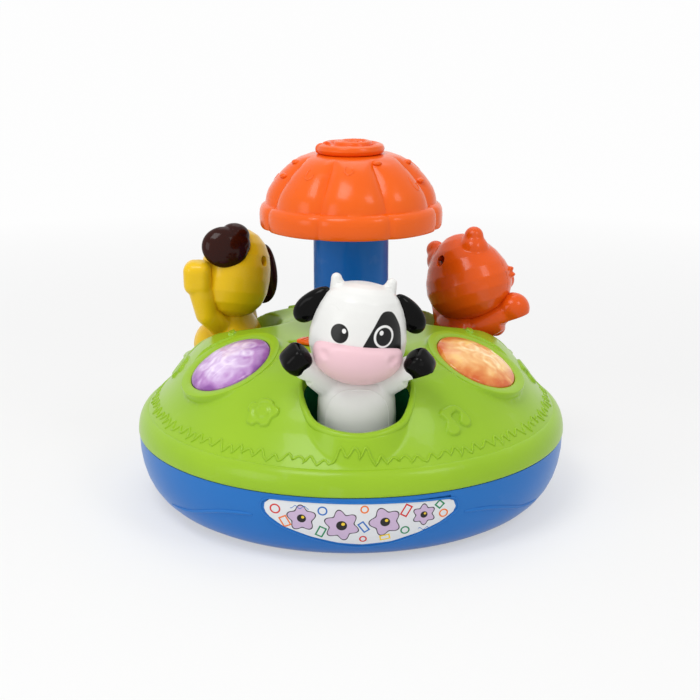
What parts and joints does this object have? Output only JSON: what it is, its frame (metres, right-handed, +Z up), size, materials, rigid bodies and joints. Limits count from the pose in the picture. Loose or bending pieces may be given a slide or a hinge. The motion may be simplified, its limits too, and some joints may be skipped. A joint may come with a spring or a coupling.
{
  "type": "animal sound spinner toy",
  "caption": "Round toy with a domed top: animal figures turn in wells round a mushroom-shaped push pump, with light-up buttons, a slide switch and a battery compartment.",
  "frame": {"origin": "on the table, under the middle of the base", "axes": "+Z up along the pump's axis, front (first well and label) along -Y"},
  "size_m": [0.23, 0.23, 0.19],
  "materials": {
    "blue_plastic": "glossy moulded ABS",
    "green_plastic": "glossy moulded ABS",
    "dark_green_plastic": "moulded ABS",
    "label_film": "printed film",
    "steel": "bright plated",
    "cell_jacket": "lacquered",
    "board_green": "solder mask",
    "speaker_black": "matte",
    "white_plastic": "moulded POM and ABS",
    "purple_lens": "translucent moulded styrene",
    "amber_lens": "translucent moulded styrene",
    "blue_lens": "translucent moulded styrene",
    "orange_plastic": "glossy moulded ABS",
    "column_blue": "glossy moulded ABS",
    "cow_white": "glossy moulded ABS",
    "cow_pink": "satin paint",
    "cow_black": "glossy paint",
    "dog_yellow": "glossy moulded ABS",
    "dog_brown": "glossy paint",
    "cat_orange": "glossy moulded ABS"
  },
  "bodies": {
    "root": {"base_bowl": "blue_plastic", "dome_shell": "green_plastic", "front_cup": "dark_green_plastic", "left_cup": "dark_green_plastic", "right_cup": "dark_green_plastic", "front_label": "label_film", "battery_door": "blue_plastic", "battery_door_screw": "steel", "batteries": "cell_jacket", "battery_contacts": "steel", "circuit_board": "board_green", "speaker": "speaker_black", "gear_deck": "white_plastic", "pump_guide": "white_plastic", "pump_spring": "steel", "housing_screws": "steel", "deck_screws": "steel", "guide_screws": "steel", "left_button_board": "board_green", "right_button_board": "board_green", "rear_button_board": "board_green", "left_button_spring": "steel", "right_button_spring": "steel", "rear_button_spring": "steel", "switch_body": "speaker_black"},
    "pump": {"mushroom_cap": "orange_plastic", "cap_top_disc": "orange_plastic", "cap_base": "orange_plastic", "cap_screws": "steel", "pump_column": "column_blue", "drive_bar": "steel"},
    "clutch": {"clutch_nut": "white_plastic"},
    "sun": {"sun_gear": "white_plastic"},
    "left_button": {"left_lens": "purple_lens"},
    "right_button": {"right_lens": "amber_lens"},
    "rear_button": {"rear_lens": "blue_lens"},
    "switch": {"switch_knob": "orange_plastic"},
    "cow": {"cow_spindle": "white_plastic", "cow_body": "cow_white", "cow_head_front": "cow_white", "cow_head_back": "cow_white", "cow_muzzle": "cow_pink", "cow_ears": "cow_black", "cow_hooves": "cow_black", "head_screws_cow": "steel"},
    "dog": {"dog_spindle": "white_plastic", "dog_body": "dog_yellow", "dog_head_front": "dog_yellow", "dog_head_back": "dog_yellow", "dog_ears": "dog_brown", "dog_nose": "cow_black", "head_screws_dog": "steel"},
    "cat": {"cat_spindle": "white_plastic", "cat_body": "cat_orange", "cat_head_front": "cat_orange", "cat_head_back": "cat_orange", "cat_nose": "cow_black", "head_screws_cat": "steel"}
  },
  "joints": [
    {"name": "pump_slide", "type": "slide", "parent": "root", "child": "pump", "axis": [0, 0, -1], "range_m": [0, 0.014], "stiffness_N_per_m": 400, "springref_m": -0.006, "deforming": ["pump_spring"]},
    {"name": "clutch_turn", "type": "hinge", "parent": "root", "child": "clutch", "pos_m": [0, 0, 0.05], "axis": [0, 0, 1], "range_deg": [0, 91]},
    {"name": "sun_spin", "type": "hinge", "parent": "root", "child": "sun", "pos_m": [0, 0, 0.043], "axis": [0, 0, 1], "continuous": true},
    {"name": "cow_spin", "type": "hinge", "parent": "root", "child": "cow", "pos_m": [0, -0.074, 0.05], "axis": [0, 0, 1], "continuous": true},
    {"name": "dog_spin", "type": "hinge", "parent": "root", "child": "dog", "pos_m": [-0.06409, 0.037, 0.05], "axis": [0, 0, 1], "continuous": true},
    {"name": "cat_spin", "type": "hinge", "parent": "root", "child": "cat", "pos_m": [0.06409, 0.037, 0.05], "axis": [0, 0, 1], "continuous": true},
    {"name": "left_button_press", "type": "slide", "parent": "root", "child": "left_button", "axis": [0.3796, 0.2192, -0.8988], "range_m": [0, 0.0025], "stiffness_N_per_m": 250, "springref_m": -0.002, "deforming": ["left_button_spring"]},
    {"name": "right_button_press", "type": "slide", "parent": "root", "child": "right_button", "axis": [-0.3796, 0.2192, -0.8988], "range_m": [0, 0.0025], "stiffness_N_per_m": 250, "springref_m": -0.002, "deforming": ["right_button_spring"]},
    {"name": "rear_button_press", "type": "slide", "parent": "root", "child": "rear_button", "axis": [0, -0.4384, -0.8988], "range_m": [0, 0.0025], "stiffness_N_per_m": 250, "springref_m": -0.002, "deforming": ["rear_button_spring"]},
    {"name": "switch_slide", "type": "slide", "parent": "root", "child": "switch", "axis": [-0.829, 0.5592, 0], "range_m": [0, 0.008]}
  ],
  "couplings": [
    {"joint": "clutch_turn", "follows": "pump_slide", "rad_per_m": 112.2},
    {"joint": "cow_spin", "follows": "sun_spin", "ratio": -3.3529},
    {"joint": "dog_spin", "follows": "sun_spin", "ratio": -3.3529},
    {"joint": "cat_spin", "follows": "sun_spin", "ratio": -3.3529}
  ]
}
